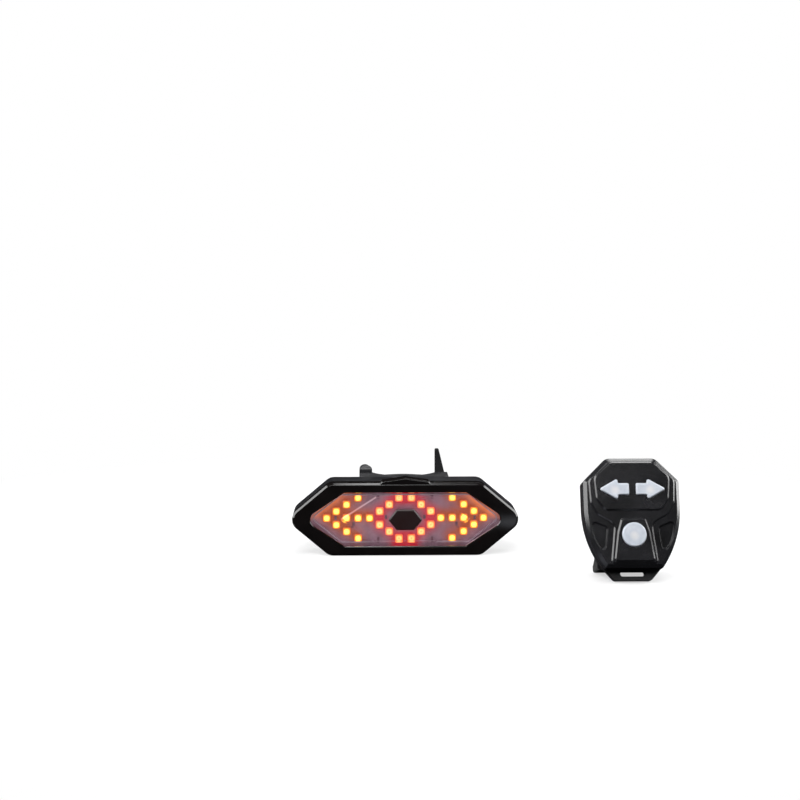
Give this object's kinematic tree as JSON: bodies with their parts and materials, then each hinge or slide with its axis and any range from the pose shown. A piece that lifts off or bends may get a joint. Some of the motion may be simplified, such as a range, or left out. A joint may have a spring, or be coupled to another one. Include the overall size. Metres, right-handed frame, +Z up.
{
  "type": "bicycle turn signal light",
  "caption": "Hexagonal bicycle rear light with arrow turn signals, strapped to a seatpost, with a wireless handlebar remote that has arrow keys and a round key.",
  "frame": {"origin": "centre of the flat bottom face of the light's casing", "axes": "+X to the right for someone who looks at the lens, -Y the way the lens looks, +Z up along the seatpost"},
  "size_m": [0.18, 0.1269, 0.0553],
  "materials": {
    "gloss_black": "glossy moulded ABS",
    "case_black": "satin moulded ABS",
    "seal_rubber": "matt",
    "clear_lens": "clear polycarbonate",
    "cap_black": "glossy",
    "white_board": "solder mask",
    "amber_lamp": "lit lamp",
    "red_lamp": "lit lamp",
    "chip_brown": "ceramic chip",
    "chip_black": "moulded package",
    "receiver_board": "solder mask",
    "copper_wire": "bare copper",
    "cell_foil": "foil",
    "socket_steel": "nickel plated",
    "switch_black": "moulded",
    "screw_steel": "zinc plated",
    "cradle_black": "fine texture",
    "pad_rubber": "matt",
    "button_rubber": "matt silicone",
    "strap_silicone": "matt silicone",
    "remote_satin": "satin moulded ABS",
    "remote_matt": "fine texture",
    "mat_silicone": "silicone",
    "green_board": "solder mask",
    "switch_metal": "stamped dome",
    "cell_steel": "nickel plated",
    "spring_steel": "nickel plated",
    "key_white": "translucent moulded"
  },
  "bodies": {
    "light": {"front_bezel": "gloss_black", "rear_housing": "case_black", "housing_gasket": "seal_rubber", "lens": "clear_lens", "centre_cap": "cap_black", "led_board": "white_board", "amber_lamps_left": "amber_lamp", "amber_lamps_right": "amber_lamp", "red_lamps": "red_lamp", "board_components": "chip_brown", "control_chip": "chip_black", "radio_receiver": "receiver_board", "aerial": "copper_wire", "battery_pack": "cell_foil", "usb_socket": "socket_steel", "power_switch": "switch_black", "case_screws": "screw_steel", "post_cradle": "cradle_black", "cradle_screws": "screw_steel", "cradle_pad": "pad_rubber", "strap_pin": "screw_steel"},
    "power_button": {"power_button": "button_rubber"},
    "usb_cover": {"usb_cover": "button_rubber"},
    "strap": {"strap": "strap_silicone"},
    "remote": {"remote_cover": "remote_satin", "remote_base": "remote_matt", "remote_gasket": "seal_rubber", "key_mat": "mat_silicone", "remote_board": "green_board", "remote_switches": "switch_metal", "coin_cell": "cell_steel", "cell_clips": "spring_steel", "remote_screws": "screw_steel", "bar_saddle": "pad_rubber"},
    "left_arrow_key": {"left_arrow_key": "key_white"},
    "right_arrow_key": {"right_arrow_key": "key_white"},
    "round_key": {"round_key": "key_white"}
  },
  "joints": [
    {"name": "power_button_press", "type": "slide", "parent": "light", "child": "power_button", "axis": [0, 0, -1], "range_m": [0, 0.0008], "stiffness_N_per_m": 400, "springref_m": -0.001},
    {"name": "usb_cover_swing", "type": "hinge", "parent": "light", "child": "usb_cover", "pos_m": [0.0332, 0.0103, 0.01815], "axis": [0, 0, 1], "range_deg": [0, 100]},
    {"name": "strap_swing", "type": "hinge", "parent": "light", "child": "strap", "pos_m": [-0.0196, 0.0286, 0.021], "axis": [0, 0, 1], "range_deg": [0, 95]},
    {"name": "remote_lift", "type": "slide", "parent": "light", "child": "remote", "axis": [0, 0, 1], "range_m": [0, 0.06]},
    {"name": "left_arrow_key_press", "type": "slide", "parent": "remote", "child": "left_arrow_key", "axis": [0, 0.9443, -0.3292], "range_m": [0, 0.0008], "stiffness_N_per_m": 400, "springref_m": -0.001},
    {"name": "right_arrow_key_press", "type": "slide", "parent": "remote", "child": "right_arrow_key", "axis": [0, 0.9443, -0.3292], "range_m": [0, 0.0008], "stiffness_N_per_m": 400, "springref_m": -0.001},
    {"name": "round_key_press", "type": "slide", "parent": "remote", "child": "round_key", "axis": [0, 0.9443, -0.3292], "range_m": [0, 0.0008], "stiffness_N_per_m": 400, "springref_m": -0.001}
  ]
}
